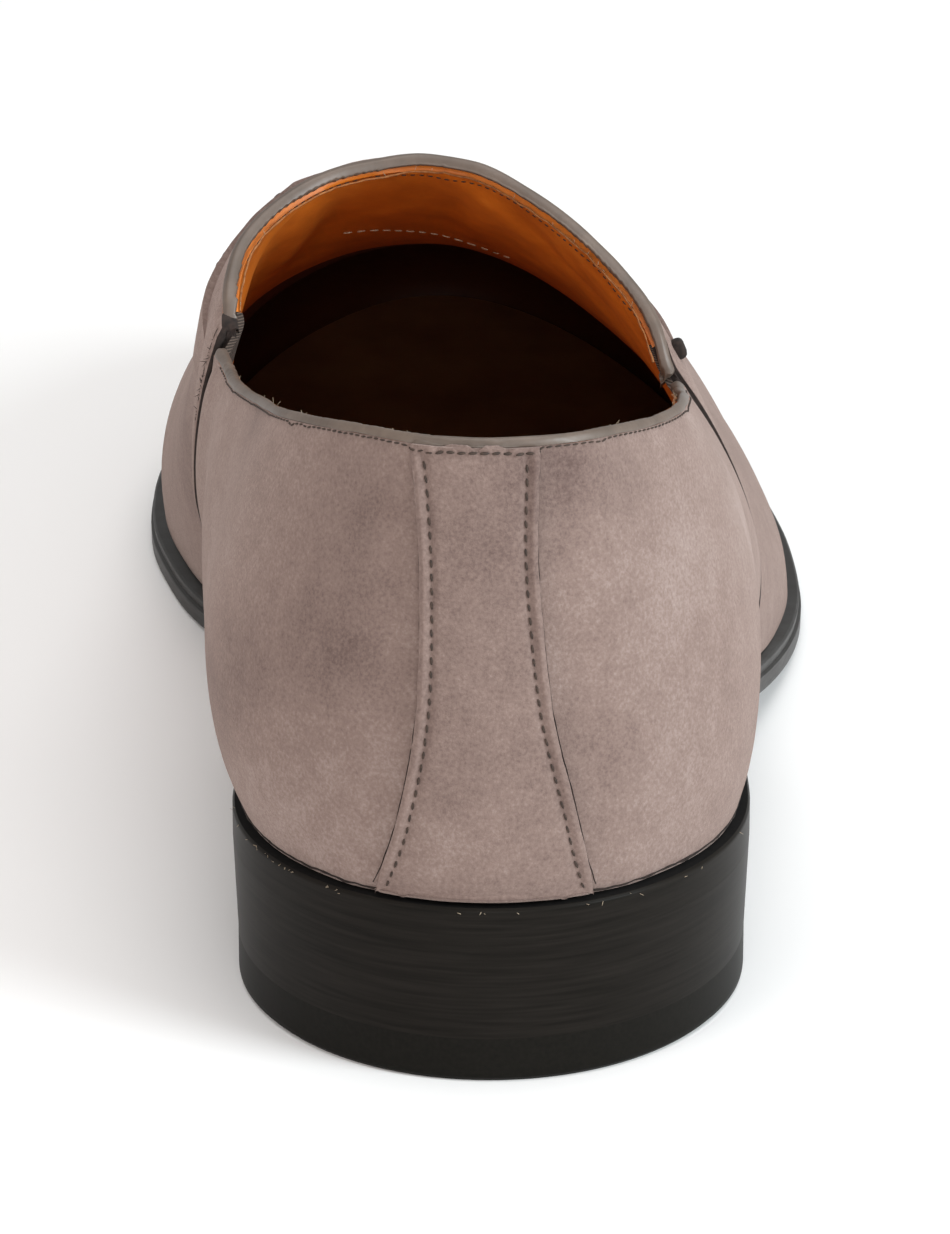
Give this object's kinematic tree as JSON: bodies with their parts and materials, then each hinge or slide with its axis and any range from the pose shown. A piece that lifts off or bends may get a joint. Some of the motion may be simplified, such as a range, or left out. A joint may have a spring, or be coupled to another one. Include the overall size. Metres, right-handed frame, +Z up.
{
  "type": "loafer",
  "caption": "Right-foot suede dress loafer with a bound collar, back strip, side gores, a saddle strap over the instep and a stacked heel.",
  "frame": {"origin": "on the floor, under the middle of the shoe's bounding box", "axes": "+X to the outer (lateral) side of the foot, +Y from heel to toe, +Z up"},
  "size_m": [0.1056, 0.3008, 0.0937],
  "materials": {
    "sole_leather": "burnished black",
    "top_lift_rubber": "satin black",
    "insole_leather": "smooth",
    "suede": "napped suede",
    "elastic": "ribbed",
    "binding_leather": "smooth satin"
  },
  "bodies": {
    "root": {"outsole": "sole_leather", "heel_stack": "sole_leather", "top_lift": "top_lift_rubber", "insole": "insole_leather", "upper": "suede", "back_strip": "suede", "saddle_strap": "suede", "gore_lateral": "elastic", "gore_medial": "elastic", "collar_binding": "binding_leather", "tongue_binding": "binding_leather"}
  },
  "joints": []
}
